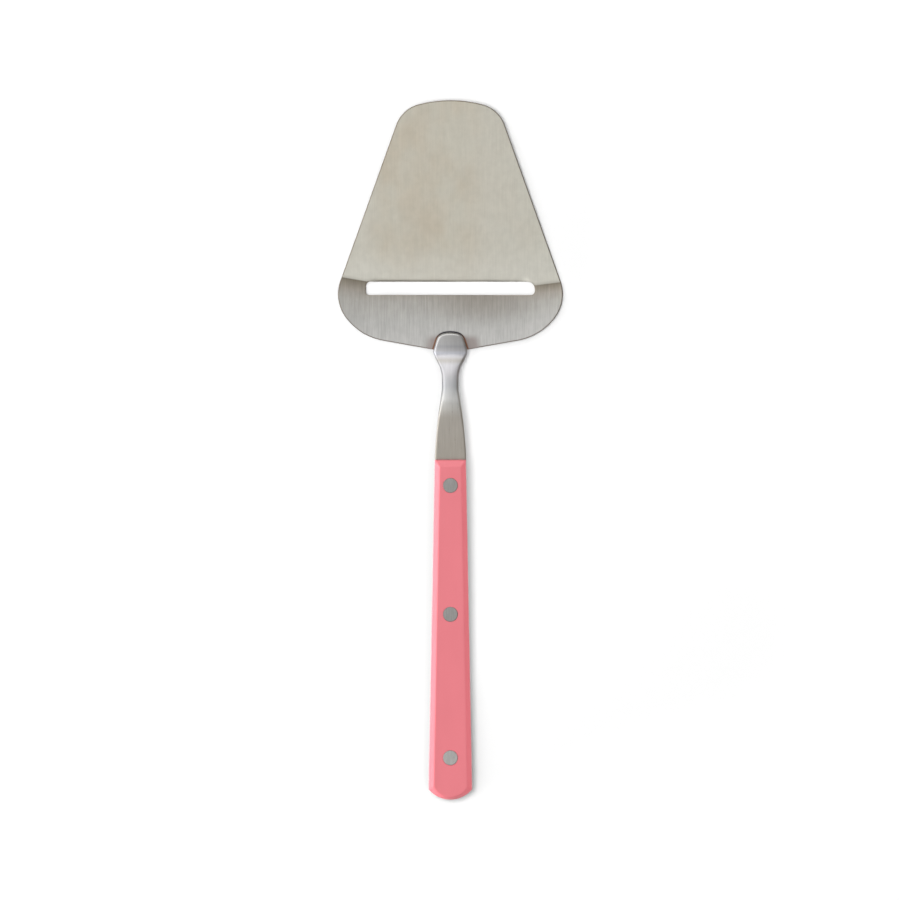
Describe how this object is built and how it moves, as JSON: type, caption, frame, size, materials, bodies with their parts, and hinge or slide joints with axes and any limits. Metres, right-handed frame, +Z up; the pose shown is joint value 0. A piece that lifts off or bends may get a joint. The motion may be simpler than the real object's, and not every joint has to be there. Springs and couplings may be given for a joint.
{
  "type": "cheese slicer",
  "caption": "Spade-shaped steel cheese slicer with a cutting slot, a cranked welded shank and a riveted two-scale pink plastic handle.",
  "frame": {"origin": "on the table, under the middle of the slicer's length and width", "axes": "+Y from the butt towards the blade's tip, +Z up from the table, X across the blade"},
  "size_m": [0.0772, 0.2397, 0.0154],
  "materials": {
    "blade_steel": "fine lengthwise brush",
    "shank_steel": "satin brush",
    "weld_steel": "as welded, heat tinted",
    "rivet_steel": "satin",
    "handle_plastic": "satin"
  },
  "bodies": {
    "root": {"blade": "blade_steel", "shank": "shank_steel", "weld_bead": "weld_steel", "upper_scale": "handle_plastic", "lower_scale": "handle_plastic", "rivet_post_front": "rivet_steel", "rivet_post_middle": "rivet_steel", "rivet_post_rear": "rivet_steel", "rivet_socket_front": "rivet_steel", "rivet_socket_middle": "rivet_steel", "rivet_socket_rear": "rivet_steel"}
  },
  "joints": []
}
